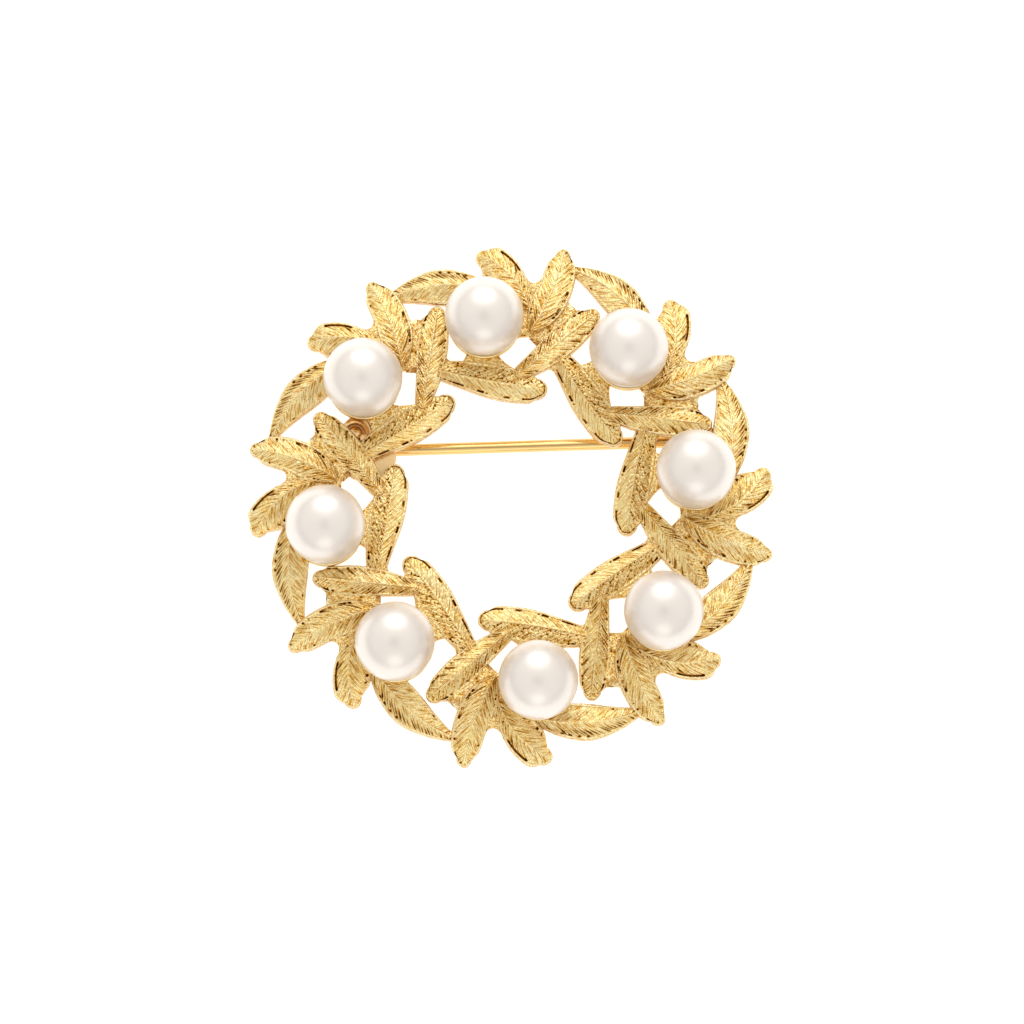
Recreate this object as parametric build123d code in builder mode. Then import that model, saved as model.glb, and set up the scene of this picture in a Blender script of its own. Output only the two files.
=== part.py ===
"""Wreath brooch: eight cast sprigs of five leaves in a ring, a half-drilled pearl on each,
and a pin stem on a riveted hinge behind. It lies on its back, pearls up: +Z is the front,
+X is to the right and +Y to the top as it is worn. Millimetres.
"""
from build123d import *
from math import asin, cos, degrees, radians, sin
import os

os.makedirs("parts", exist_ok=True)

# Wreath
sprig_count = 8
ring_radius = 14.3          # centre of the brooch to the centre of a pearl
first_pearl_angle = 97.6    # degrees, from +X
leaf_level = 3.3            # top of a leaf's edge over the surface that the brooch lies on
leaf_half_width = 1.35
leaf_thickness = 0.9        # at a leaf's edge
leaf_crest = 0.32           # the midrib over the edge
leaf_step = 0.2             # from one layer of leaves to the next
leaf_curl = 0.85            # how far the outer tips turn back

# Pearls and what carries them
pearl_diameter = 6.0
pearl_seat = 0.2            # how deep a pearl sits in its saucer's floor
pearl_gap = 0.04
saucer_radius = 2.75
saucer_floor = 0.1          # over the leaf level
saucer_rim = 0.38           # over the leaf level
saucer_wall = 0.22
saucer_thickness = 0.8
peg_radius = 0.35
peg_height = 2.2            # over the saucer's floor
peg_gap = 0.05

# Pin stem and rivet
pin_diameter = 0.9
pin_axis_height = 0.8       # the pin's axis over the surface that the brooch lies on
pin_turn = 1.8              # degrees, how much the pin rises to the right
pin_point = 4.0             # length of the filed point
pin_past_catch = 1.2
eye_radius = 0.78
rivet_radius = 0.26
rivet_fit = 0.02
rivet_head_radius = 0.46
rivet_head_height = 0.2
running_gap = 0.05

# Hinge plate, its ears and the catch, soldered behind the leaves
solder_depth = 0.12         # how far a plate runs into the backs of the leaves
plate_width = 4.3
plate_height = 5.2
plate_thickness = 0.42
plate_corner = 1.8
boss_radius = 1.1
boss_groove = 0.3
boss_groove_depth = 0.2
ear_thickness = 0.55
ear_radius = 0.6
catch_length = 1.6
catch_wall = 0.5
catch_plate_radius = 1.5

# Places: the hinge and the catch as shares of the ring's radius, from the brooch's centre,
# and the boss as shares of the plate's width and height, from its middle
hinge_place = (-0.762, 0.298)
catch_along = 0.98
boss_place = (-0.23, 0.204)

# How far each sprig strays from an even ring, as soldered by hand: its leaves moved clockwise
# (degrees) and outwards (share of the ring's radius) and turned about the pearl (degrees), and
# its saucer and pearl moved clockwise (degrees) and outwards (share of the ring's radius).
# (leaves clockwise, leaves out, leaves turned, pearl clockwise, pearl out)
stray_table = (
    (0.2, -0.010, 0.4, -0.9, -0.031),
    (0.3, 0.013, 0.3, 0.9, 0.003),
    (-0.1, 0.000, -0.3, -0.4, -0.016),
    (-0.3, 0.013, 0.1, 0.2, 0.010),
    (-0.9, 0.018, 0.3, -0.6, -0.007),
    (-0.3, -0.001, -0.2, 0.6, -0.010),
    (0.8, 0.001, 1.0, -1.6, -0.009),
    (0.6, 0.013, -1.9, 1.3, 0.004),
)

# A leaf: where its root and tip are (clockwise angle as a share of the pitch, radius as a
# share of the ring's), the bow of its midrib as a share of its length, its half width as a
# share of leaf_half_width, its layer in steps and the turn of its tip as a share of the curl.
# (name, root angle, root radius, tip angle, tip radius, bow, width, layer, curl)
leaf_table = (
    ("outer", 0.031, 1.153, -0.520, 1.292, -0.085, 1.03, 0.6, 0.75),
    ("short", 0.279, 1.045, 0.006, 1.358, -0.120, 0.90, 0.9, 1.00),
    ("broad", 0.308, 0.930, 0.423, 1.394, -0.050, 0.97, 1.7, 1.00),
    ("middle", 0.210, 0.680, 0.691, 1.110, 0.000, 0.93, 0.3, 0.10),
    ("inner", -0.535, 0.857, 0.496, 0.634, -0.020, 0.97, -0.2, 0.15),
)

# Sections of each leaf, from root to tip, as shares of its length and of its half width
# (along, left of the midrib, right of the midrib)
leaf_sections = {
    "outer": ((0, .60, .45), (.25, 1.02, .75), (.5, 1.0, .92), (.75, .66, .66), (1, .20, .20)),
    "short": ((0, .55, .45), (.3, 1.10, .52), (.6, 1.45, .82), (.85, 1.10, .90), (1, .36, .36)),
    "broad": ((0, .50, .50), (.3, .88, 1.0), (.6, .80, 1.08), (.85, .70, .84), (1, .26, .26)),
    "middle": ((0, .45, .40), (.3, .62, .80), (.6, .86, .96), (.85, .72, .66), (1, .22, .22)),
    "inner": ((0, .42, .38), (.3, .90, .64), (.6, 1.05, .90), (.85, .66, .76), (1, .28, .34)),
}

pitch = 360 / sprig_count
pearl_radius = pearl_diameter / 2
pin_radius = pin_diameter / 2
floor_level = leaf_level + saucer_floor
pearl_level = floor_level + pearl_radius - pearl_seat


def from_pearl(angle_share, radius_share):
    """A point of a sprig whose pearl is at the origin, clockwise angles positive, outwards +X."""
    angle = -radians(angle_share * pitch)
    return Vector(cos(angle) * radius_share - 1, sin(angle) * radius_share) * ring_radius


def on_ring(number, clockwise, out, turned=0, height=0):
    """Where one sprig's leaves or pearl go, strayed from an even ring, outwards along their +X."""
    angle = first_pearl_angle - number * pitch - clockwise
    reach = ring_radius * (1 + out)
    place = (reach * cos(radians(angle)), reach * sin(radians(angle)), height)
    return Location(place, (0, 0, angle + turned))


def midrib_plane(root, tip, bow, share, height):
    """The plane across a leaf's midrib at a share of its length, with +x to the left."""
    chord = tip - root
    ahead = chord.normalized()
    left = Vector(-ahead.Y, ahead.X)
    place = root + chord * share
    turn = 0.0
    if bow:
        rise = -bow * chord.length
        radius = (chord.length ** 2 / 4 + rise ** 2) / (2 * rise)
        turn = asin(chord.length / 2 / radius) * (2 * share - 1)
        out = radius * cos(turn) - (radius - rise)
        place = root + ahead * (chord.length / 2 + radius * sin(turn)) - left * out
    heading = ahead.rotate(Axis.Z, degrees(turn))
    sideways = Vector(-heading.Y, heading.X)
    return Plane(origin=(place.X, place.Y, height), x_dir=sideways, z_dir=heading)


def leaf_blade(row):
    """One leaf: flat behind, straight at its edge, each half rising in an arc to the midrib."""
    name, root_angle, root_radius, tip_angle, tip_radius, bow, width, layer, curl = row
    root = from_pearl(root_angle, root_radius)
    tip = from_pearl(tip_angle, tip_radius)
    half_width = width * leaf_half_width
    lift = layer * leaf_step
    with BuildPart() as blade:
        for along, left_share, right_share in leaf_sections[name]:
            height = leaf_level + lift - (lift + curl * leaf_curl) * along ** 2
            left = left_share * half_width
            right = -right_share * half_width
            crest = leaf_crest * (left_share + right_share) / 2
            deep = -leaf_thickness * (1 - 0.2 * along ** 2)
            with BuildSketch(midrib_plane(root, tip, bow, along, height)):
                with BuildLine():
                    Polyline((right, 0), (right, deep), (left, deep), (left, 0))
                    ThreePointArc((left, 0), (left / 2, 0.8 * crest), (0, crest))
                    ThreePointArc((0, crest), (right / 2, 0.8 * crest), (right, 0))
                make_face()
        loft()
    return blade.part


blades = [leaf_blade(row) for row in leaf_table]

# One sprig's five leaves, cast as one, with the middle of the pearl over the origin
with BuildPart() as leaves:
    for blade in blades:
        add(blade)

# The saucer below the pearl, a turned dish with a thin rim
with BuildPart() as saucer:
    with BuildSketch(Plane.XZ):
        with BuildLine():
            under = leaf_level - saucer_thickness
            inner_radius = saucer_radius - saucer_wall
            Polyline(
                (0, under),
                (saucer_radius - 3 * saucer_wall, under),
                (saucer_radius, leaf_level - saucer_wall),
                (saucer_radius, leaf_level + saucer_rim),
                (inner_radius, leaf_level + saucer_rim),
                (inner_radius - saucer_wall, floor_level),
                (0, floor_level),
                close=True,
            )
        make_face()
    revolve(axis=Axis.Z)

leaf_places = []
saucer_places = []
pearl_places = []
for number in range(sprig_count):
    clockwise, out, turned, pearl_clockwise, pearl_out = stray_table[number % len(stray_table)]
    leaf_places.append(on_ring(number, clockwise, out, turned))
    saucer_places.append(on_ring(number, pearl_clockwise, pearl_out))
    pearl_places.append(on_ring(number, pearl_clockwise, pearl_out, height=pearl_level))

hinge_centre = Vector(*hinge_place) * ring_radius
pin_ahead = Vector(1, 0).rotate(Axis.Z, pin_turn)
across_pin = Vector(0, 1).rotate(Axis.Z, pin_turn)
catch_reach = (catch_along * ring_radius - hinge_centre.X) / pin_ahead.X
catch_centre = hinge_centre + pin_ahead * catch_reach
hinge_axis = hinge_centre + Vector(0, 0, pin_axis_height)
catch_axis = catch_centre + Vector(0, 0, pin_axis_height)
plate_top = leaf_level - leaf_thickness + solder_depth
plate_bottom = plate_top - plate_thickness
mount_height = plate_top - pin_axis_height
ear_inside = pin_radius + running_gap
ear_outside = ear_inside + ear_thickness

# The whole casting: leaves and saucers, a seat and a peg for each pearl, and behind it the
# hinge's plate and ears and the catch, soldered on
with BuildPart() as wreath:
    with Locations(*leaf_places):
        add(leaves.part)
    with Locations(*saucer_places):
        add(saucer.part)
    with Locations(*pearl_places):
        Sphere(pearl_radius + pearl_gap, mode=Mode.SUBTRACT)
    with BuildSketch(Plane.XY.offset(floor_level - saucer_thickness / 2)):
        with Locations(*saucer_places):
            Circle(peg_radius)
    extrude(amount=saucer_thickness / 2 + peg_height)
    with BuildSketch(Plane.XY.offset(plate_bottom)):
        with Locations(hinge_centre):
            RectangleRounded(plate_width, plate_height, plate_corner)
        with Locations(catch_centre):
            Circle(catch_plate_radius)
    extrude(amount=plate_thickness)
    with BuildSketch(Plane.XY.offset(plate_top - boss_groove_depth)):
        boss_x = hinge_centre.X + boss_place[0] * plate_width
        boss_y = hinge_centre.Y + boss_place[1] * plate_height
        with Locations((boss_x, boss_y)):
            Circle(boss_radius)
            Circle(boss_radius - boss_groove, mode=Mode.SUBTRACT)
    extrude(amount=boss_groove_depth, mode=Mode.SUBTRACT)
    for start in (ear_inside, -ear_outside):
        ear_plane = Plane(origin=hinge_axis + across_pin * start, x_dir=-pin_ahead, z_dir=across_pin)
        with BuildSketch(ear_plane):
            Circle(ear_radius)
            Rectangle(2 * ear_radius, mount_height, align=(Align.CENTER, Align.MIN))
            Circle(rivet_radius + rivet_fit, mode=Mode.SUBTRACT)
        extrude(amount=ear_thickness)
    with BuildSketch(Plane(origin=catch_axis, x_dir=across_pin, z_dir=pin_ahead)):
        slot_radius = pin_radius + running_gap
        hook_radius = slot_radius + catch_wall
        Rectangle(2 * hook_radius, mount_height, align=(Align.CENTER, Align.MIN))
        Rectangle(2 * hook_radius, pin_axis_height, align=(Align.CENTER, Align.MAX))
        Rectangle(
            2 * slot_radius, pin_axis_height, align=(Align.CENTER, Align.MAX), mode=Mode.SUBTRACT
        )
        Circle(slot_radius, mode=Mode.SUBTRACT)
    extrude(amount=catch_length / 2, both=True)

wreath.part.label = "wreath"
export_step(wreath.part, "parts/wreath.step")

# One pearl about its own middle, drilled half through from below to slip over its peg
with BuildPart() as pearl:
    Sphere(pearl_radius)
    with BuildSketch(Plane.XY.offset(-pearl_radius)):
        Circle(peg_radius + peg_gap)
    extrude(amount=pearl_seat + peg_height + peg_gap, mode=Mode.SUBTRACT)

for number, place in enumerate(pearl_places, start=1):
    set_pearl = pearl.part.moved(place)
    set_pearl.label = f"pearl_{number}"
    export_step(set_pearl, f"parts/pearl_{number}.step")

# The pin stem: a round eye between the ears, a drawn wire and a filed point past the catch
stem_length = catch_reach + catch_length / 2 + pin_past_catch
hinge_side = Plane(origin=hinge_axis, x_dir=pin_ahead, z_dir=-across_pin)
with BuildPart() as pin_stem:
    with BuildSketch(hinge_side):
        Circle(eye_radius)
    extrude(amount=pin_radius, both=True)
    with BuildSketch(hinge_side):
        with BuildLine():
            shoulder = stem_length - pin_point
            point_radius = 0.1 * pin_radius
            Polyline((stem_length, 0), (0, 0), (0, pin_radius), (shoulder, pin_radius))
            ThreePointArc(
                (shoulder, pin_radius),
                (shoulder + pin_point / 2, 0.72 * pin_radius),
                (stem_length, point_radius),
            )
            Line((stem_length, point_radius), (stem_length, 0))
        make_face()
    revolve(axis=Axis(hinge_axis, pin_ahead))
    with BuildSketch(hinge_side):
        Circle(rivet_radius + running_gap)
    extrude(amount=pin_radius, both=True, mode=Mode.SUBTRACT)

pin_stem.part.label = "pin_stem"
export_step(pin_stem.part, "parts/pin_stem.step")

# The rivet through both ears and the eye, with its two heads domed over
with BuildPart() as hinge_rivet:
    with BuildSketch(Plane(origin=hinge_axis, x_dir=pin_ahead, z_dir=across_pin)):
        Circle(rivet_radius)
    extrude(amount=ear_outside + rivet_fit, both=True)
    for side in (1, -1):
        head_plane = Plane(
            origin=hinge_axis + across_pin * side * (ear_outside + rivet_fit),
            x_dir=pin_ahead,
            z_dir=across_pin * side,
        )
        with BuildSketch(head_plane):
            Circle(rivet_head_radius)
        extrude(amount=rivet_head_height, taper=30)

hinge_rivet.part.label = "hinge_rivet"
export_step(hinge_rivet.part, "parts/hinge_rivet.step")
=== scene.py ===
from math import asin, cos, exp, floor, pi, radians, sin

import bmesh
import bpy
from mathutils import Matrix, Vector
from mathutils.noise import noise


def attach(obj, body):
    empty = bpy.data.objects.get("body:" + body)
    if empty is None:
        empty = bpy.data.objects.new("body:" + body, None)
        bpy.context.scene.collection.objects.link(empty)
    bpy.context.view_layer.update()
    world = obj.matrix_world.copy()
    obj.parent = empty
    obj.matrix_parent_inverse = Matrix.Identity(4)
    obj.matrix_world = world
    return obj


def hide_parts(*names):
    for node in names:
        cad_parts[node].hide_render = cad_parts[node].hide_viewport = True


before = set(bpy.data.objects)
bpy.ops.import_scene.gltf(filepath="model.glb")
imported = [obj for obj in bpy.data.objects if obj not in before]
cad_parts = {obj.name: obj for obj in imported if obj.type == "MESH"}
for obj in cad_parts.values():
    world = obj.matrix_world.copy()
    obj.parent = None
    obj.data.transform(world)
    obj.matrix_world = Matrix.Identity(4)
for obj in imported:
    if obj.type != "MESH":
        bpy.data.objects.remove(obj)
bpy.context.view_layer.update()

# The camera stands where the photographer's did: a long lens almost square to the front of
# the brooch, nine and a half degrees below it. Lengths are in millimetres until they go into
# a mesh, and the level of the leaves' edges in the middle of the ring is the mark it aims at.
millimetre = 0.001
leaf_level = 3.3
camera_tilt = radians(9.5)
camera_distance = 431.8
picture_width = 1024            # pixels
pixels_per_millimetre = 13.2    # at the level of the leaves
ring_middle = (511.2, 500.9)    # where the mark is in the picture, pixels from the top left

lens = bpy.data.cameras.new("long_lens")
lens.lens = lens.sensor_width * pixels_per_millimetre * camera_distance / picture_width
lens.shift_x = (picture_width / 2 - ring_middle[0]) / picture_width
lens.shift_y = (ring_middle[1] - picture_width / 2) / picture_width
lens.clip_start = 0.01
lens.clip_end = 10
camera = bpy.data.objects.new("camera", lens)
towards_camera = Vector((0, -sin(camera_tilt), cos(camera_tilt)))
camera.location = (Vector((0, 0, leaf_level)) + towards_camera * camera_distance) * millimetre
camera.rotation_euler = (camera_tilt, 0, 0)
bpy.context.scene.collection.objects.link(camera)
bpy.context.scene.camera = camera
bpy.context.scene.view_settings.view_transform = "Standard"


# The leaves of a sprig, cast in one mould in gold-plated brass: five blades round a pearl,
# each a low roof with a raised midrib, slanting veins, a channel and a polished rim.
# Their shapes are those of the solid, from its tables.
sprig_count = 8
ring_radius = 14.3
first_pearl_angle = 97.6
leaf_half_width = 1.35
leaf_depth = 0.88
leaf_crest = 0.32
leaf_step = 0.2
leaf_curl = 0.85
pitch = 360 / sprig_count

# (leaves clockwise, leaves out, leaves turned, pearl clockwise, pearl out)
stray_table = (
    (0.2, -0.010, 0.4, -0.9, -0.031),
    (0.3, 0.013, 0.3, 0.9, 0.003),
    (-0.1, 0.000, -0.3, -0.4, -0.016),
    (-0.3, 0.013, 0.1, 0.2, 0.010),
    (-0.9, 0.018, 0.3, -0.6, -0.007),
    (-0.3, -0.001, -0.2, 0.6, -0.010),
    (0.8, 0.001, 1.0, -1.6, -0.009),
    (0.6, 0.013, -1.9, 1.3, 0.004),
)

# (name, root angle, root radius, tip angle, tip radius, bow, width, layer, curl)
leaf_table = (
    ("outer", 0.031, 1.153, -0.520, 1.292, -0.085, 1.03, 0.6, 0.75),
    ("short", 0.279, 1.045, 0.006, 1.358, -0.120, 0.90, 0.9, 1.00),
    ("broad", 0.308, 0.930, 0.423, 1.394, -0.050, 0.97, 1.7, 1.00),
    ("middle", 0.210, 0.680, 0.691, 1.110, 0.000, 0.93, 0.3, 0.10),
    ("inner", -0.535, 0.857, 0.496, 0.634, -0.020, 0.97, -0.2, 0.15),
)

# (along, left of the midrib, right of the midrib)
leaf_sections = {
    "outer": (
        (0, .60, .45), (.25, 1.02, .75), (.5, 1.0, .90), (.75, .66, .60), (1, .22, .20),
    ),
    "short": (
        (0, .55, .45), (.3, 1.10, .60), (.6, 1.45, .92), (.85, 1.15, 1.0), (.95, .82, .78),
        (1, .52, .50),
    ),
    "broad": (
        (0, .50, .50), (.3, .88, 1.0), (.6, .82, 1.08), (.85, .74, .90), (.95, .56, .66),
        (1, .38, .42),
    ),
    "middle": (
        (0, .45, .40), (.3, .62, .80), (.6, .88, .96), (.85, .84, .80), (.95, .72, .68),
        (1, .50, .48),
    ),
    "inner": (
        (0, .42, .38), (.3, .90, .64), (.6, 1.05, .92), (.85, .84, .90), (.95, .74, .80),
        (1, .54, .58),
    ),
}

# How each half of a leaf is chased: the spacing of its veins in millimetres, how much of it is
# pitted, how readily dark slots are cut along the channel beside its rim, and how many of its
# veins are slit open. The pits, slots and slits are darkened with painted shade.
# (vein spacing, pitted, slots, slits), left of the midrib and then right of it
chasing_table = {
    "outer": ((0.40, 0.2, 0.0, 0.0), (0.30, 0.1, 0.15, 0.60)),
    "short": ((0.36, 0.3, 0.05, 0.0), (0.27, 0.4, 0.20, 0.15)),
    "broad": ((0.40, 0.3, 0.10, 0.05), (0.26, 0.4, 0.25, 0.10)),
    "middle": ((0.30, 0.7, 0.12, 0.10), (0.27, 0.3, 0.38, 0.15)),
    "inner": ((0.26, 1.0, 0.05, 0.0), (0.30, 0.1, 0.40, 0.0)),
}
vein_lean = 1.25                # how far a vein runs forward for each millimetre outwards
vein_sweep = 0.16               # and how much more it bends forward near the rim
vein_depth = 0.12               # share of the spacing
vein_wander = 0.7               # shares of the spacing too, in slow waves
vein_tremble = 0.3              # and in quick ones
facet_tilt = 0.25               # slope of the strips between the veins, at most
ripple_depth = 0.03             # of the uneven skin of the casting
streak_depth = 0.06             # of the scratches along the veins
streak_width = 0.13
pit_depth = 0.06
pit_size = 0.13
midrib_height = 0.07
midrib_width = 0.07
rim_height = 0.055
rim_place = 0.925               # shares of the way from the midrib to the edge
rim_width = 0.085
channel_depth = 0.035
channel_place = 0.82
channel_width = 0.05
slot_depth = 0.22
slot_cutoff = 0.50              # what the waves that place the slots have to pass
slit_place = 0.62               # halfway out a vein that is slit open
groove_shade = 0.40             # how much painted shade each hollow gets
streak_shade = 0.9
pit_shade = 0.95
slot_shade = 1.2
along_steps = 164
across_steps = 52
# A painted shade towards each leaf's root, where the leaves meet round the pearl.
root_shade = 0.25
# The walls are a little polished, which also paints them paler: a painted highlight.
wall_polish_and_highlight = 0.4
line_stretch = 4                # fine lines along the veins, length over width
tip_round = 0.8                 # how far the rounding reaches back, share of the half width
tip_reach = 0.035               # how far the tip runs past the solid's, share of the length


def from_pearl(angle_share, radius_share):
    """A point of a sprig whose pearl is at the origin, clockwise angles positive, outwards +X."""
    angle = -radians(angle_share * pitch)
    return Vector((cos(angle) * radius_share - 1, sin(angle) * radius_share, 0)) * ring_radius


def between(rows, along, column):
    """A smooth value of one column of a table whose first column is the share along."""
    last = len(rows) - 1
    i = max(k for k in range(last) if rows[k][0] <= along or k == 0)
    slopes = []
    for k in (i, i + 1):
        low, high = max(k - 1, 0), min(k + 1, last)
        slopes.append((rows[high][column] - rows[low][column]) / (rows[high][0] - rows[low][0]))
    span = rows[i + 1][0] - rows[i][0]
    t = (along - rows[i][0]) / span
    start, end = rows[i][column], rows[i + 1][column]
    return (
        (2 * t ** 3 - 3 * t ** 2 + 1) * start + (t ** 3 - 2 * t ** 2 + t) * span * slopes[0]
        + (3 * t ** 2 - 2 * t ** 3) * end + (t ** 3 - t ** 2) * span * slopes[1]
    )


def bump(x, width):
    """A smooth hump of height one about zero."""
    return exp(-(x / width) ** 2)


def step(x, width):
    """A smooth step from nought to one about zero."""
    return 1 / (1 + exp(-max(-30, min(30, x / width))))


def scatter(*numbers):
    """A steady random share for a few whole numbers."""
    weights = (12.9898, 78.233, 37.719)
    mixed = sin(sum((n + 1) * weight for n, weight in zip(numbers, weights))) * 43758.5
    return mixed - floor(mixed)


def chase(leaf_number, side, along, across, run, edge, chasing):
    """Height over the smooth blade in millimetres and how much painted shade the place gets, from 0
    to 1.
    """
    spacing, pitted, slots, slits = chasing
    seed = leaf_number * 7.3 + side * 3.1
    wander = noise(Vector((run * 0.9, across * 0.8, seed)))
    tremble = noise(Vector((run * 3.5, across * 3.0, seed + 15)))
    phase = run / spacing + vein_wander * wander + vein_tremble * tremble
    vein = floor(phase + 0.5)
    veined = step(channel_place - edge, 0.03) * (1 - bump(across, 0.09))
    groove = 1 - abs(sin(pi * phase)) ** 0.7
    strength = 0.7 + 1.3 * noise(Vector((run * 2.2, across * 2.2, seed + 9)))
    streak = noise(Vector((run / streak_width, across * 2.2, seed + 20)))
    pit = step(noise(Vector((along / pit_size, across / pit_size, seed + 30))) - 0.27, 0.04)
    pit *= pitted * veined
    dash = noise(Vector((along * 0.8, 7, seed))) + noise(Vector((along * 3.2, 3, seed)))
    slot = step(dash - slot_cutoff + slots, 0.02) * bump(edge - channel_place, channel_width)
    slot *= step(along - 1, 0.1)
    if scatter(vein, leaf_number, side) < slits:
        slit = bump((phase - vein) * spacing, channel_width) * bump(edge - slit_place, 0.2)
        slot = max(slot, slit)
    height = ripple_depth * noise(Vector((along * 5, across * 5, seed + 40)))
    height -= vein_depth * spacing * groove * strength * veined
    tilt = facet_tilt * (2 * scatter(vein, leaf_number, side + 3) - 1)
    height += tilt * spacing * (phase - vein) * strength * veined
    height += streak_depth * streak * (0.25 + 0.75 * veined) * step(0.95 - edge, 0.01)
    height += midrib_height * bump(across, midrib_width) * step(0.9 - edge, 0.03)
    height += rim_height * bump(edge - rim_place, rim_width)
    height -= channel_depth * bump(edge - channel_place, channel_width)
    height -= pit_depth * pit + slot_depth * slot
    # Painted shade: in the vein grooves, less on the raised streaks, most in the pits, slots and
    # slits.
    painted_shade = (groove_shade * groove * strength - streak_shade * streak) * veined
    painted_shade += pit_shade * pit + slot_shade * slot
    return height, max(0, min(painted_shade, 1))


def draw_down(sprig, grid, depth):
    """A rounded edge, a wall and a flat back below a grid, spread along its verts' outwards."""
    floats, vectors = sprig.verts.layers.float, sprig.verts.layers.float_vector
    edges = [e for e in {e for v in grid for e in v.link_edges} if e.is_boundary]
    # How far out and how far down each loop goes, and how much painted shade it gets, down to the
    # back's edge; the walls are painted darkest just under the rim.
    for spread, drop, shade in (
        (0.03, 0.05, 0.5), (0.03, 0.15, 0.5), (-0.01, depth - 0.30, 0.35), (-0.10, 0.10, 0.2),
    ):
        drawn = bmesh.ops.extrude_edge_only(sprig, edges=edges)["geom"]
        edges = [g for g in drawn if isinstance(g, bmesh.types.BMEdge) and g.is_boundary]
        for vert in (g for g in drawn if isinstance(g, bmesh.types.BMVert)):
            vert.co += Vector(vert[vectors["outward"]]) * spread - Vector((0, 0, drop))
            vert[vectors["vein_place"]] = vert.co
            vert[floats["painted_shade"]] = shade
            vert[floats["polish_and_highlight"]] = wall_polish_and_highlight
    bmesh.ops.triangle_fill(sprig, use_beauty=True, edges=edges)


def cast_leaf(sprig, leaf_number, row):
    """One blade of a sprig: a grid laid over its roof, with a wall drawn down and a flat back."""
    name, root_angle, root_radius, tip_angle, tip_radius, bow, width, layer, curl = row
    root = from_pearl(root_angle, root_radius)
    tip = from_pearl(tip_angle, tip_radius)
    chord = tip - root
    ahead = chord.normalized()
    left = Vector((-ahead.y, ahead.x, 0))
    lift = layer * leaf_step
    stations = []
    for number in range(along_steps + 1):
        along = number / along_steps * (1 + tip_reach)
        place = root + chord * along
        heading = ahead
        if bow:
            rise = -bow * chord.length
            radius = (chord.length ** 2 / 4 + rise ** 2) / (2 * rise)
            turn = asin(chord.length / 2 / radius) * (2 * along - 1)
            out = radius * cos(turn) - (radius - rise)
            place = root + ahead * (chord.length / 2 + radius * sin(turn)) - left * out
            heading = Matrix.Rotation(turn, 3, "Z") @ ahead
        widths = [
            between(leaf_sections[name], min(along, 1), column) * width * leaf_half_width
            for column in (1, 2)
        ]
        level = leaf_level + lift - (lift + curl * leaf_curl) * along ** 2
        stations.append((place, heading, Vector((-heading.y, heading.x, 0)), widths, level))

    floats, vectors = sprig.verts.layers.float, sprig.verts.layers.float_vector
    length = chord.length * (1 + tip_reach)
    grid = bmesh.ops.create_grid(
        sprig, x_segments=along_steps, y_segments=across_steps, size=1
    )["verts"]
    for vert in grid:
        along = (vert.co.x + 1) / 2
        place, heading, sideways, widths, level = stations[round(along * along_steps)]
        even = abs(vert.co.y)
        share = even - 0.3 * sin(2 * pi * even) / (2 * pi)
        side = 0 if vert.co.y >= 0 else 1
        across = share * widths[side]
        end_share = max(0, 1 - (1 - along) * length / widths[side])
        edge = min(1, (share ** 4 + end_share ** 4) ** 0.25)
        run = along * length - vein_lean * across - vein_sweep * across ** 2
        height, dark = chase(
            leaf_number, side, along * length, across, run, edge, chasing_table[name][side]
        )
        outwards = sideways if side == 0 else -sideways
        if vert.is_boundary:
            forwards = (along > 0.999) - (along < 0.001)
            sidewards = 2 * share ** 1.5 if forwards else 1
            away = outwards * sidewards + heading * forwards
            vert[vectors["outward"]] = away.normalized()
        vert[vectors["vein_place"]] = (run, across, leaf_number)
        # Painted shade: that of the chased hollows, and more towards the root.
        vert[floats["painted_shade"]] = min(1, dark + root_shade * bump(along, 0.3))
        # Polish on the rims and the midribs, which also gives them a paler painted highlight.
        vert[floats["polish_and_highlight"]] = min(1, bump(edge - 0.97, 0.06) + 0.35 * bump(across, 0.05))
        rounding = tip_round * share ** 2.5 * sum(widths) / 2
        crest = leaf_crest * sum(widths) / (2 * leaf_half_width)
        vert.co = place + outwards * across - heading * rounding * (along ** 9 - (1 - along) ** 9)
        vert.co.z = level + crest * (1 - edge ** 1.7) + height
    draw_down(sprig, grid, leaf_depth)


# Where the blades run together in the mould: webs between them, pitted all over, and a strut
# from the saucer to the inner leaf. Each is a patch between two pairs of corners, given like the
# leaves' as angle and radius shares, whose free sides are hollowed.
# (one side, the other side, how far it spreads past them, level over the leaves')
web_table = (
    (((0.23, 1.22), (0.19, 1.03)), ((0.33, 1.19), (0.33, 1.02)), 1.3, 0.08),
    (((0.48, 1.13), (0.33, 0.92)), ((0.57, 1.07), (0.40, 0.88)), 1.3, 0.08),
    (((0.60, 0.94), (0.40, 0.74)), ((0.70, 0.80), (0.58, 0.735)), 1.1, -0.02),
    (((-0.17, 0.90), (0.03, 0.87)), ((-0.42, 0.77), (0.24, 0.705)), 1.05, -0.04),
    (((0.16, 1.09), (0.20, 0.89)), ((0.34, 1.07), (0.42, 0.865)), 1.05, 0.05),
)
web_hollow = 0.32
web_steps = 28
web_depth = 0.62
web_ripple = 0.08
# A painted shade over the webs, where the blades run together.
web_shade = 0.25


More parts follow.
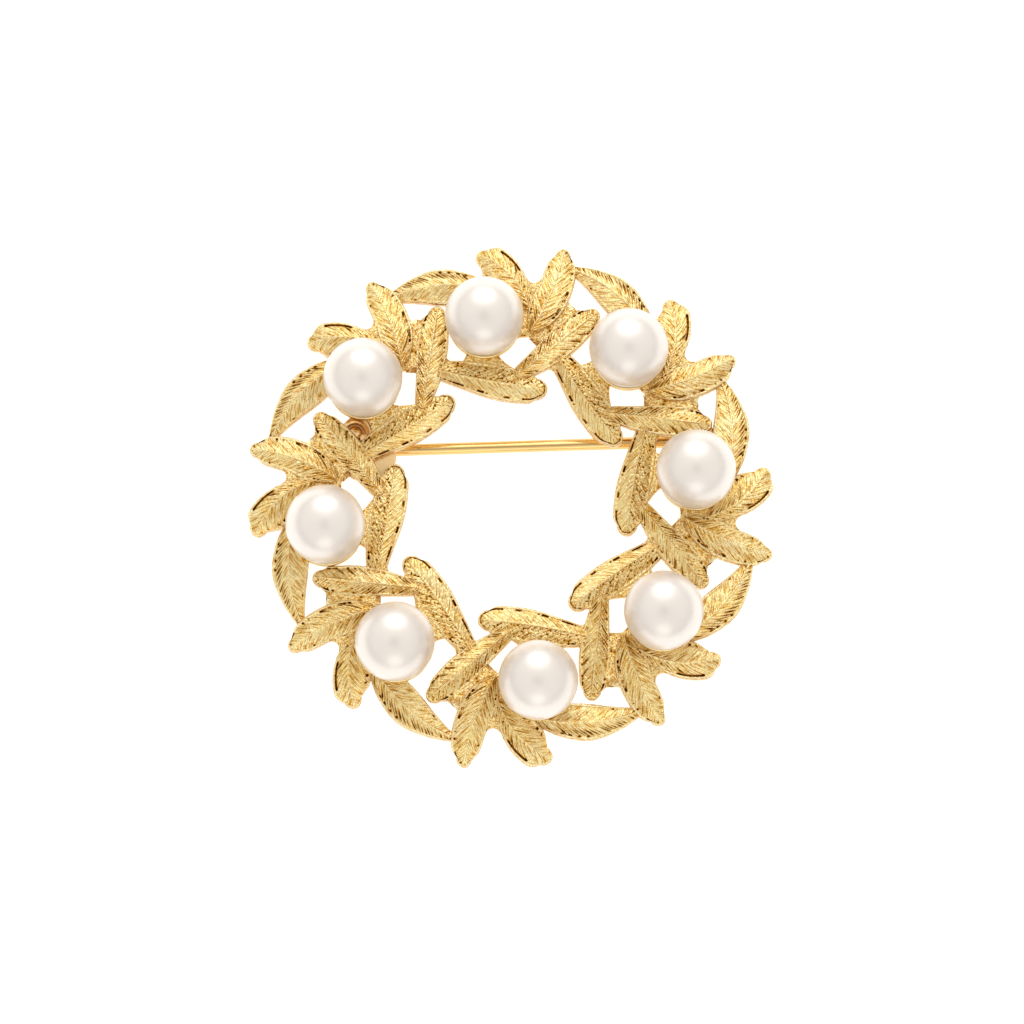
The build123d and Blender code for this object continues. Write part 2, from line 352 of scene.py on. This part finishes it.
def cast_web(sprig, seed, ends, other_ends, spread, level):
    """A patch between two sides, rounded over at its free edges, with a wall and a flat back."""
    floats, vectors = sprig.verts.layers.float, sprig.verts.layers.float_vector
    corners = [[from_pearl(*corner) for corner in side] for side in (ends, other_ends)]
    middle = sum((c for side in corners for c in side), Vector()) / 4
    grid = bmesh.ops.create_grid(sprig, x_segments=web_steps, y_segments=web_steps, size=1)["verts"]
    for vert in grid:
        across, along = vert.co.x, vert.co.y
        sides = [side[0].lerp(side[1], (along * spread + 1) / 2) for side in corners]
        place = sides[0].lerp(sides[1], (across + 1) / 2)
        place = place.lerp(middle, web_hollow * max(0, 1 - across ** 2) ** 0.5 * along ** 2)
        ripple = noise(Vector((place.x * 6, place.y * 6, seed)))
        pit = step(noise(Vector((place.x / pit_size, place.y / pit_size, seed + 5))) - 0.32, 0.05)
        if vert.is_boundary:
            vert[vectors["outward"]] = (place - middle).normalized()
        vert[vectors["vein_place"]] = (place.x, place.y * line_stretch, seed)
        # Painted shade over the web: less where the ripples rise, more in the pits.
        vert[floats["painted_shade"]] = max(0, min(1, web_shade - 0.9 * ripple + 0.6 * pit))
        vert.co = place
        vert.co.z = leaf_level + level + web_ripple * ripple - 0.05 * pit - 0.10 * abs(along) ** 8
    draw_down(sprig, grid, web_depth)


# Each vert keeps which way the edge faces there, where it is among the veins, how much painted
# shade it gets, and how polished it is, which also gives it a paler painted highlight.
sprig = bmesh.new()
sprig.verts.layers.float_vector.new("outward")
sprig.verts.layers.float_vector.new("vein_place")
sprig.verts.layers.float.new("painted_shade")
sprig.verts.layers.float.new("polish_and_highlight")
for leaf_number, row in enumerate(leaf_table):
    cast_leaf(sprig, leaf_number, row)
for web_number, row in enumerate(web_table):
    cast_web(sprig, web_number * 11.7, *row)
bmesh.ops.scale(sprig, vec=Vector((millimetre,) * 3), verts=sprig.verts)
bmesh.ops.recalc_face_normals(sprig, faces=sprig.faces)
for face in sprig.faces:
    face.smooth = True


def linear(colour):
    """An sRGB hex colour as linear red, green, blue and alpha."""
    parts = [int(colour[i:i + 2], 16) / 255 for i in (0, 2, 4)]
    return [c / 12.92 if c <= 0.04045 else ((c + 0.055) / 1.055) ** 2.4 for c in parts] + [1]


def add_node(tree, kind, inputs, **settings):
    """A shader node with its settings, fed by values or by other nodes' sockets."""
    node = tree.nodes.new("ShaderNode" + kind)
    for name, value in settings.items():
        setattr(node, name, value)
    for name, value in inputs.items():
        if isinstance(value, bpy.types.NodeSocket):
            tree.links.new(value, node.inputs[name])
        else:
            node.inputs[name].default_value = value
    return node


# Gold plate over cast brass, chased and brushed. Its light and shade are partly painted: a warm
# amber painted shade in the matt grounds, a paler painted highlight where the rims and the
# midribs are polished, and a brown painted shade in the deepest hollows, slots and pits. The
# brushed lines are finer on the brooch than here, where they are as coarse as they need to be to
# show.
line_width = 0.12               # millimetres
mottle_size = 1.4
cast_gold = bpy.data.materials.new("cast_gold_plate")
cast_gold.use_nodes = True
tree = cast_gold.node_tree
tree.nodes.clear()
coordinates = add_node(tree, "TexCoord", {}).outputs["Object"]
painted_shade_share = add_node(tree, "Attribute", {}, attribute_name="painted_shade").outputs["Fac"]
polish_and_highlight_share = add_node(tree, "Attribute", {}, attribute_name="polish_and_highlight").outputs["Fac"]
vein_place = add_node(tree, "Attribute", {}, attribute_name="vein_place").outputs["Vector"]
line_place = add_node(
    tree, "Mapping",
    {"Vector": vein_place, "Scale": (1 / line_width, 1 / line_width / line_stretch, 5)},
).outputs["Vector"]
lines = add_node(tree, "TexNoise", {"Vector": line_place, "Scale": 1, "Detail": 2}).outputs["Fac"]
mottle = add_node(
    tree, "TexNoise",
    {"Vector": coordinates, "Scale": 1 / (mottle_size * millimetre), "Detail": 4},
).outputs["Fac"]
ground = add_node(
    tree, "Mix", {"Factor": mottle, "A": linear("F8D77E"), "B": linear("FCEEC0")}, data_type="RGBA"
)
# Paler where polished: a painted highlight on the rims, midribs and walls.
painted_highlight = add_node(
    tree, "Mix",
    {"Factor": polish_and_highlight_share, "A": ground.outputs["Result"], "B": linear("FAE8B8")},
    data_type="RGBA",
)
# The brushed lines are painted lighter where the bump raises them and darker where it lowers them:
# painted light and shade.
line_shade = add_node(
    tree, "MapRange",
    {"Value": lines, "From Min": 0.35, "From Max": 0.65, "To Min": 0.40, "To Max": -0.44},
)
shade = add_node(
    tree, "Math", {0: painted_shade_share, 1: line_shade.outputs["Result"]}, operation="ADD"
).outputs["Value"]
# Amber painted shade in the hollows, on the walls and in the brushed lines' low places.
amber_shade_share = add_node(
    tree, "MapRange",
    {"Value": shade, "From Min": 0, "From Max": 0.7, "To Min": 0, "To Max": 1},
)
amber_shade = add_node(
    tree, "Mix",
    {"Factor": amber_shade_share.outputs["Result"], "A": painted_highlight.outputs["Result"], "B": linear("D2962E")},
    data_type="RGBA",
)
# Dark brown painted shade in the slots, slits, pits and deepest grooves.
deep_shade_share = add_node(
    tree, "MapRange",
    {"Value": painted_shade_share, "From Min": 0.72, "From Max": 1, "To Min": 0, "To Max": 1},
)
colour = add_node(
    tree, "Mix",
    {"Factor": deep_shade_share.outputs["Result"], "A": amber_shade.outputs["Result"], "B": linear("2A1606")},
    data_type="RGBA",
)
roughness = add_node(
    tree, "MapRange",
    {"Value": polish_and_highlight_share, "From Min": 0, "From Max": 1, "To Min": 0.25, "To Max": 0.15},
)
relief = add_node(
    tree, "Bump", {"Height": lines, "Strength": 1.0, "Distance": 0.09 * millimetre}
)
surface = add_node(
    tree, "BsdfPrincipled",
    {
        "Base Color": colour.outputs["Result"], "Metallic": 1,
        "Roughness": roughness.outputs["Result"], "Normal": relief.outputs["Normal"],
    },
)
add_node(tree, "OutputMaterial", {"Surface": surface.outputs["BSDF"]})


def on_ring(number, clockwise, out, twist=0, height=0):
    """Where one sprig's leaves or pearl go, strayed from an even ring, in metres."""
    angle = radians(first_pearl_angle - number * pitch - clockwise)
    reach = ring_radius * (1 + out)
    place = Vector((reach * cos(angle), reach * sin(angle), height)) * millimetre
    return Matrix.Translation(place) @ Matrix.Rotation(angle + radians(twist), 4, "Z")


def piece(name, mesh, material, body, slot, *nodes):
    """A finished piece of a bmesh, riding on its body in place of the solid's nodes."""
    data = bpy.data.meshes.new(name)
    mesh.to_mesh(data)
    data.materials.append(material)
    made = bpy.data.objects.new(name, data)
    bpy.context.scene.collection.objects.link(made)
    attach(made, body)
    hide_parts(*nodes)


for number in range(sprig_count):
    clockwise, out, twist = stray_table[number][:3]
    placed = sprig.copy()
    bmesh.ops.transform(placed, matrix=on_ring(number, clockwise, out, twist), verts=placed.verts)
    piece(f"sprig_{number + 1}", placed, cast_gold, "brooch", "gold_cast", "wreath")
    placed.free()
sprig.free()


# The saucers, turned from brass, soldered among the leaves and plated with them, one below each
# pearl: a thin bright rim round a shallow dish.
saucer_radius = 2.75
saucer_rim = 0.38               # over the leaves' edges
saucer_wall = 0.22
saucer_thickness = 0.8
saucer_floor = 0.1
rim_round = 0.05


def turned(profile, segments):
    """A bmesh turned about the Z axis from a profile of radius and height in millimetres."""
    mesh = bmesh.new()
    for layer in ("painted_shade", "polish_and_highlight"):
        mesh.verts.layers.float.new(layer)
    verts = [mesh.verts.new((radius, 0, height)) for radius, height in profile]
    edges = [mesh.edges.new(pair) for pair in zip(verts, verts[1:])]
    bmesh.ops.spin(
        mesh, geom=verts + edges, axis=(0, 0, 1), cent=(0, 0, 0), angle=2 * pi,
        steps=segments, use_merge=True,
    )
    bmesh.ops.remove_doubles(mesh, verts=mesh.verts, dist=0.0005)
    bmesh.ops.recalc_face_normals(mesh, faces=mesh.faces)
    bmesh.ops.scale(mesh, vec=Vector((millimetre,) * 3), verts=mesh.verts)
    for face in mesh.faces:
        face.smooth = True
    return mesh


inner_radius = saucer_radius - saucer_wall
saucer = turned((
    (0, -saucer_thickness),
    (saucer_radius - 3 * saucer_wall, -saucer_thickness),
    (saucer_radius, -saucer_wall),
    (saucer_radius, saucer_rim - rim_round),
    (saucer_radius - rim_round, saucer_rim),
    (inner_radius + rim_round, saucer_rim),
    (inner_radius, saucer_rim - rim_round),
    (inner_radius - saucer_wall, saucer_floor),
    (0, saucer_floor),
), 72)
for number in range(sprig_count):
    clockwise, out = stray_table[number][3:]
    placed = saucer.copy()
    for vert in placed.verts:
        # A paler painted highlight on the polished rim, and painted shade in the dish under the
        # pearl.
        on_rim = vert.co.z > (saucer_rim - 2 * rim_round) * millimetre
        vert[placed.verts.layers.float["polish_and_highlight"]] = 0.5 if on_rim else 0
        vert[placed.verts.layers.float["painted_shade"]] = 0.1 if on_rim else 0.4
    bmesh.ops.transform(
        placed, matrix=on_ring(number, clockwise, out, height=leaf_level), verts=placed.verts
    )
    piece(f"saucer_{number + 1}", placed, cast_gold, "brooch", "gold_cast", "wreath")
    placed.free()
saucer.free()


# The pearls, half drilled and glued on their pegs. Nacre is a soft deep lustre, almost that of
# metal, under a thin clear gloss, over a cream body that is clouded a little from within.
cloud_size = 2.5
nacre = bpy.data.materials.new("cream_pink_nacre")
nacre.use_nodes = True
tree = nacre.node_tree
tree.nodes.clear()
coordinates = add_node(tree, "TexCoord", {}).outputs["Object"]
cloud = add_node(
    tree, "TexNoise", {"Vector": coordinates, "Scale": 1 / (cloud_size * millimetre), "Detail": 2}
).outputs["Fac"]
body_colour = add_node(
    tree, "Mix", {"Factor": cloud, "A": linear("E5D9CC"), "B": linear("EDE3D9")}, data_type="RGBA"
)
surface = add_node(
    tree, "BsdfPrincipled",
    {
        "Base Color": body_colour.outputs["Result"], "Metallic": 0.3, "Roughness": 0.36, "IOR": 2.0,
        "Specular IOR Level": 1.0, "Coat Weight": 0.3, "Coat Roughness": 0.16, "Coat IOR": 1.5,
    },
)
add_node(tree, "OutputMaterial", {"Surface": surface.outputs["BSDF"]})
for number in range(sprig_count):
    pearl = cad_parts[f"pearl_{number + 1}"].data
    pearl.materials.clear()
    pearl.materials.append(nacre)


# What is soldered behind: the hinge's plate, with a raised ring round a small dome, the hinge's
# two ears, and the catch, a bent hook on a small round plate. They are cut from rolled sheet and
# plated, so they are smoother than the casting.
hinge_place = (-0.762, 0.298)   # shares of the ring's radius
catch_along = 0.98
pin_turn = 1.8                  # degrees
pin_axis_height = 0.8
pin_radius = 0.45
running_gap = 0.05
plate_width = 4.3
plate_height = 5.2
plate_thickness = 0.42
plate_corner = 1.8
plate_top = 2.52
boss_place = (-0.23, 0.204)     # shares of the plate's width and height, from its middle
boss_radius = 1.1
boss_groove = 0.3
boss_groove_depth = 0.2
ear_thickness = 0.55
ear_radius = 0.6
catch_length = 1.6
catch_wall = 0.5
catch_plate_radius = 1.5
finding_round = 0.06
mark_size = 0.25

# Gold plate over rolled brass: even and satin, with faint marks of the rolls, and a brown
# painted shade in the boss's groove.
rolled_gold = bpy.data.materials.new("rolled_gold_plate")
rolled_gold.use_nodes = True
tree = rolled_gold.node_tree
tree.nodes.clear()
coordinates = add_node(tree, "TexCoord", {}).outputs["Object"]
painted_shade_share = add_node(tree, "Attribute", {}, attribute_name="painted_shade").outputs["Fac"]
marks = add_node(
    tree, "TexNoise", {"Vector": coordinates, "Scale": 1 / (mark_size * millimetre), "Detail": 3}
).outputs["Fac"]
colour = add_node(
    tree, "Mix", {"Factor": marks, "A": linear("F1C37E"), "B": linear("F6D7A4")}, data_type="RGBA"
)
painted_recess_shade = add_node(
    tree, "Mix",
    {"Factor": painted_shade_share, "A": colour.outputs["Result"], "B": linear("9A5A20")},
    data_type="RGBA",
)
relief = add_node(tree, "Bump", {"Height": marks, "Strength": 0.15, "Distance": 0.02 * millimetre})
surface = add_node(
    tree, "BsdfPrincipled",
    {
        "Base Color": painted_recess_shade.outputs["Result"], "Metallic": 1, "Roughness": 0.24,
        "Normal": relief.outputs["Normal"],
    },
)
add_node(tree, "OutputMaterial", {"Surface": surface.outputs["BSDF"]})

hinge_centre = Vector((*hinge_place, 0)) * ring_radius
pin_ahead = Vector((cos(radians(pin_turn)), sin(radians(pin_turn)), 0))
across_pin = Vector((-pin_ahead.y, pin_ahead.x, 0))
catch_centre = hinge_centre + pin_ahead * (catch_along * ring_radius - hinge_centre.x) / pin_ahead.x
hinge_axis = hinge_centre + Vector((0, 0, pin_axis_height))
catch_axis = catch_centre + Vector((0, 0, pin_axis_height))
mount_height = plate_top - pin_axis_height
slot_radius = pin_radius + running_gap
hook_radius = slot_radius + catch_wall


def extruded(mesh, way):
    """Draws the flat faces of a mesh out along a way and rounds the corners over."""
    drawn = bmesh.ops.extrude_face_region(mesh, geom=mesh.faces[:], use_keep_orig=True)["geom"]
    ends = [g for g in drawn if isinstance(g, bmesh.types.BMVert)]
    bmesh.ops.translate(mesh, vec=way, verts=ends)
    bmesh.ops.recalc_face_normals(mesh, faces=mesh.faces)
    mesh.normal_update()
    corners = [e for e in mesh.edges if e.calc_face_angle(0) > radians(60)]
    bmesh.ops.bevel(
        mesh, geom=corners, affect="EDGES", offset=finding_round, segments=3, profile=0.5,
        material=-1,
    )


def finding(name, mesh, matrix):
    """A finding shaped flat in millimetres, put in its place as a smooth piece."""
    bmesh.ops.transform(mesh, matrix=matrix, verts=mesh.verts)
    bmesh.ops.recalc_face_normals(mesh, faces=mesh.faces)
    bmesh.ops.scale(mesh, vec=Vector((millimetre,) * 3), verts=mesh.verts)
    mesh.normal_update()
    for face in mesh.faces:
        face.smooth = True
    for edge in mesh.edges:
        edge.smooth = edge.calc_face_angle(0) < radians(35)
    piece(name, mesh, rolled_gold, "brooch", "gold_cast", "wreath")
    mesh.free()


def upright(middle):
    """Axes at a point: x along the pin, y upwards and z across the pin."""
    turn = Matrix((pin_ahead, Vector((0, 0, 1)), across_pin)).transposed()
    return Matrix.Translation(middle) @ turn.to_4x4()


plate = bmesh.new()
plate_corners = bmesh.ops.create_grid(plate, x_segments=1, y_segments=1, size=0.5)["verts"]
bmesh.ops.scale(plate, vec=(plate_width, plate_height, 1), verts=plate_corners)
bmesh.ops.bevel(
    plate, geom=plate_corners, affect="VERTICES", offset=plate_corner, segments=10, profile=0.5,
    material=-1,
)
bmesh.ops.delete(plate, geom=plate.faces[:], context="FACES_ONLY")
boss_middle = Vector((boss_place[0] * plate_width, boss_place[1] * plate_height, 0))
bmesh.ops.create_circle(
    plate, segments=44, radius=boss_radius - 0.02, matrix=Matrix.Translation(boss_middle)
)
bmesh.ops.bridge_loops(plate, edges=plate.edges[:])
extruded(plate, (0, 0, plate_thickness))
plate_bottom = Vector((0, 0, plate_top - plate_thickness))
finding("hinge_plate", plate, Matrix.Translation(hinge_centre + plate_bottom))

# The boss, from the middle of its back out, over the ridge, through the groove and up the dome
boss = turned((
    (0, 0.02),
    (boss_radius, 0.02),
    (boss_radius, plate_thickness),
    (boss_radius - 0.05, plate_thickness + 0.12),
    (boss_radius - 0.17, plate_thickness + 0.17),
    (boss_radius - boss_groove, plate_thickness + 0.08),
    (boss_radius - boss_groove - 0.08, plate_thickness - boss_groove_depth),
    (boss_radius - boss_groove - 0.22, plate_thickness - boss_groove_depth),
    (boss_radius - boss_groove - 0.30, plate_thickness),
    (boss_radius - boss_groove - 0.42, plate_thickness + 0.14),
    (0, plate_thickness + 0.26),
), 48)
# Painted shade in the boss's groove, and on its back and sides, which sit inside the plate.
for vert in boss.verts:
    low = vert.co.z / millimetre < plate_thickness - 0.02
    vert[boss.verts.layers.float["painted_shade"]] = 0.7 if low else 0
bmesh.ops.scale(boss, vec=Vector((1 / millimetre,) * 3), verts=boss.verts)
finding("hinge_boss", boss, Matrix.Translation(hinge_centre + plate_bottom + boss_middle))

for number, side in enumerate((1, -1), start=1):
    ear = bmesh.new()
    bmesh.ops.create_circle(ear, cap_ends=True, segments=32, radius=ear_radius)
    for vert in ear.verts:
        if vert.co.y > 0.001:
            corner = ear_radius * (vert.co.x > 0.001) - ear_radius * (vert.co.x < -0.001)
            vert.co = (corner, mount_height, 0)
    bmesh.ops.remove_doubles(ear, verts=ear.verts, dist=0.001)
    extruded(ear, (0, 0, side * ear_thickness))
    finding(f"hinge_ear_{number}", ear, upright(hinge_axis + across_pin * side * slot_radius))

hook = bmesh.new()
arch = [(cos(pi * k / 12) * -slot_radius, sin(pi * k / 12) * slot_radius) for k in range(13)]
outline = [
    (-hook_radius, mount_height), (-hook_radius, -pin_axis_height),
    (-slot_radius, -pin_axis_height),
]
outline += arch + [(-x, y) for x, y in reversed(outline)]
verts = [hook.verts.new((0, y, x)) for x, y in outline]
bmesh.ops.contextual_create(hook, geom=verts)
extruded(hook, (catch_length, 0, 0))
finding("catch_hook", hook, upright(catch_axis - pin_ahead * catch_length / 2))

catch_plate = bmesh.new()
bmesh.ops.create_circle(catch_plate, cap_ends=True, segments=64, radius=catch_plate_radius)
extruded(catch_plate, (0, 0, plate_thickness))
finding("catch_plate", catch_plate, Matrix.Translation(catch_centre + plate_bottom))


# The pin stem and its rivet, drawn from hard gold-plated wire: bright, with fine lines along it
# from the draw plate.
draw_marks_along = 60           # in a metre
draw_marks_across = 9000
wire_gold = bpy.data.materials.new("drawn_gold_wire")
wire_gold.use_nodes = True
tree = wire_gold.node_tree
tree.nodes.clear()
coordinates = add_node(tree, "TexCoord", {}).outputs["Object"]
draw_marks = add_node(
    tree, "Mapping",
    {"Vector": coordinates, "Scale": (draw_marks_along, draw_marks_across, draw_marks_across)},
).outputs["Vector"]
marks = add_node(tree, "TexNoise", {"Vector": draw_marks, "Scale": 1, "Detail": 2}).outputs["Fac"]
colour = add_node(
    tree, "Mix", {"Factor": marks, "A": linear("EEC070"), "B": linear("F4D296")}, data_type="RGBA"
)
relief = add_node(tree, "Bump", {"Height": marks, "Strength": 0.1, "Distance": 0.01 * millimetre})
surface = add_node(
    tree, "BsdfPrincipled",
    {
        "Base Color": colour.outputs["Result"], "Metallic": 1, "Roughness": 0.22,
        "Normal": relief.outputs["Normal"],
    },
)
add_node(tree, "OutputMaterial", {"Surface": surface.outputs["BSDF"]})
for name in ("pin_stem", "hinge_rivet"):
    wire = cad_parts[name].data
    wire.materials.clear()
    wire.materials.append(wire_gold)


# A plain table of matt white card under the brooch, lit from below so that it stays white, and
# two soft lamps.
table = bmesh.new()
bmesh.ops.create_grid(table, x_segments=1, y_segments=1, size=2)
data = bpy.data.meshes.new("table")
table.to_mesh(data)
table.free()
white = bpy.data.materials.new("matt_white_card")
white.use_nodes = True
card = white.node_tree.nodes["Principled BSDF"].inputs
card["Base Color"].default_value = linear("C0C0C0")
card["Roughness"].default_value = 0.9
card["Emission Color"].default_value = (1, 1, 1, 1)
card["Emission Strength"].default_value = 0.85
data.materials.append(white)
floor_card = bpy.data.objects.new("table", data)
bpy.context.scene.collection.objects.link(floor_card)

# (name, azimuth, elevation, distance in metres, size in metres, watts)
lamp_table = (
    ("top", 0, 36, 0.5, 0.50, 0.90),
    ("bottom", 180, 22, 0.5, 0.34, 0.22),
)
for name, azimuth, elevation, distance, size, watts in lamp_table:
    lamp = bpy.data.lights.new(name, "AREA")
    lamp.shape = "DISK"
    lamp.size = size
    lamp.energy = watts
    stand = bpy.data.objects.new(name, lamp)
    away = Vector((
        -sin(radians(azimuth)) * cos(radians(elevation)),
        cos(radians(azimuth)) * cos(radians(elevation)),
        sin(radians(elevation)),
    ))
    stand.location = away * distance
    stand.rotation_euler = away.to_track_quat("Z", "Y").to_euler()
    bpy.context.scene.collection.objects.link(stand)

# The tent round the table: bright above it, dim towards the table, with a dark round opening
# for the lens.
tent_dim = 0.3
tent_bright = 0.95
world = bpy.data.worlds.new("white_tent")
bpy.context.scene.world = world
world.use_nodes = True
tree = world.node_tree
tree.nodes.clear()
direction = add_node(tree, "TexCoord", {}).outputs["Generated"]
upwards = add_node(tree, "SeparateXYZ", {"Vector": direction}).outputs["Z"]
over_table = add_node(
    tree, "MapRange",
    {"Value": upwards, "From Min": 0.0, "From Max": 0.35, "To Min": 0, "To Max": 1},
    interpolation_type="SMOOTHSTEP",
)
beside_camera = add_node(
    tree, "VectorMath", {0: direction, 1: towards_camera}, operation="DOT_PRODUCT"
).outputs["Value"]
round_opening = add_node(
    tree, "MapRange",
    {"Value": beside_camera, "From Min": 0.96, "From Max": 0.995, "To Min": 1, "To Max": 0.1},
    interpolation_type="SMOOTHSTEP",
)
lit = add_node(
    tree, "Math",
    {0: over_table.outputs["Result"], 1: round_opening.outputs["Result"]}, operation="MULTIPLY",
)
strength = add_node(
    tree, "MapRange", {"Value": lit.outputs["Value"], "To Min": tent_dim, "To Max": tent_bright}
)
background = add_node(
    tree, "Background", {"Color": (1, 1, 1, 1), "Strength": strength.outputs["Result"]}
)
add_node(tree, "OutputWorld", {"Surface": background.outputs["Background"]})
